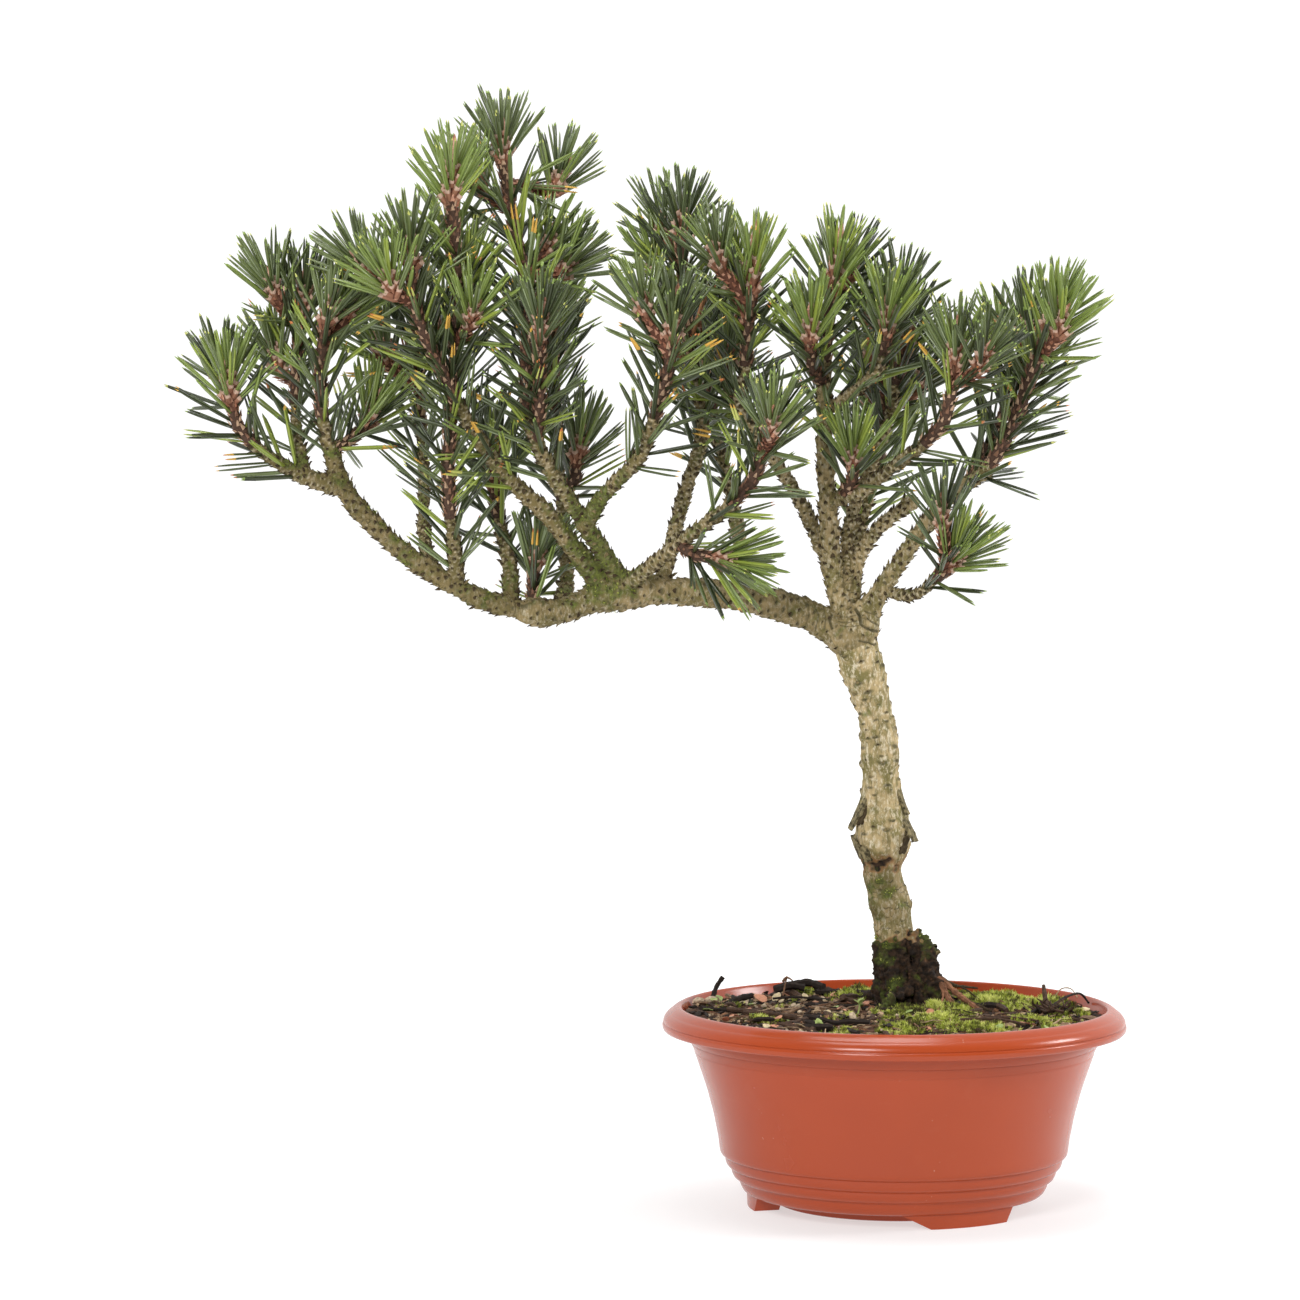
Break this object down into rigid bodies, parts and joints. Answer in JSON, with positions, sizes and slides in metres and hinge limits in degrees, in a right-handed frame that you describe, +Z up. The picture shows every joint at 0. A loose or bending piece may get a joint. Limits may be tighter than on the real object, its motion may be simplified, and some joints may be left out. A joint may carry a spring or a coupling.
{
  "type": "potted bonsai tree",
  "caption": "Young black pine trained with a long low bough to one side and upright limbs with needle tufts, in a round plastic bowl with a rolled rim and small feet.",
  "frame": {"origin": "middle of the bowl's underside, on the surface it stands on", "axes": "+Z up; +X to the right as seen from the front, away from the long bough; +Y to the back"},
  "size_m": [0.485, 0.2564, 0.5825],
  "materials": {
    "pot_plastic": "satin",
    "soil_and_moss": "matte",
    "bark": "matte",
    "needle_green": "satin"
  },
  "bodies": {
    "root": {"pot": "pot_plastic", "soil": "soil_and_moss", "trunk": "bark", "bough_left_inner": "bark", "bough_left_outer": "bark", "limb_a": "bark", "limb_aa": "bark", "limb_b": "bark", "limb_back_a": "bark", "limb_back_b": "bark", "limb_back_c": "bark", "limb_back_d": "bark", "limb_bb": "bark", "limb_c": "bark", "limb_cc": "bark", "limb_f": "bark", "limb_l": "bark", "limb_m": "bark", "limb_n": "bark", "limb_p": "bark", "limb_q": "bark", "limb_right": "bark", "limb_upright": "bark", "limb_v": "bark", "limb_w": "bark", "limb_y": "bark", "limb_z": "bark", "needles_a": "needle_green", "needles_aa": "needle_green", "needles_b": "needle_green", "needles_back_a": "needle_green", "needles_back_b": "needle_green", "needles_back_c": "needle_green", "needles_back_d": "needle_green", "needles_c": "needle_green", "needles_cc": "needle_green", "needles_dd": "needle_green", "needles_e": "needle_green", "needles_ee": "needle_green", "needles_f": "needle_green", "needles_h": "needle_green", "needles_i": "needle_green", "needles_l": "needle_green", "needles_n": "needle_green", "needles_o": "needle_green", "needles_q": "needle_green", "needles_r": "needle_green", "needles_s": "needle_green", "needles_spur": "needle_green", "needles_t": "needle_green", "needles_u": "needle_green", "needles_v": "needle_green", "needles_w": "needle_green", "needles_x": "needle_green", "needles_xx": "needle_green", "needles_y": "needle_green", "needles_yy": "needle_green"}
  },
  "joints": []
}
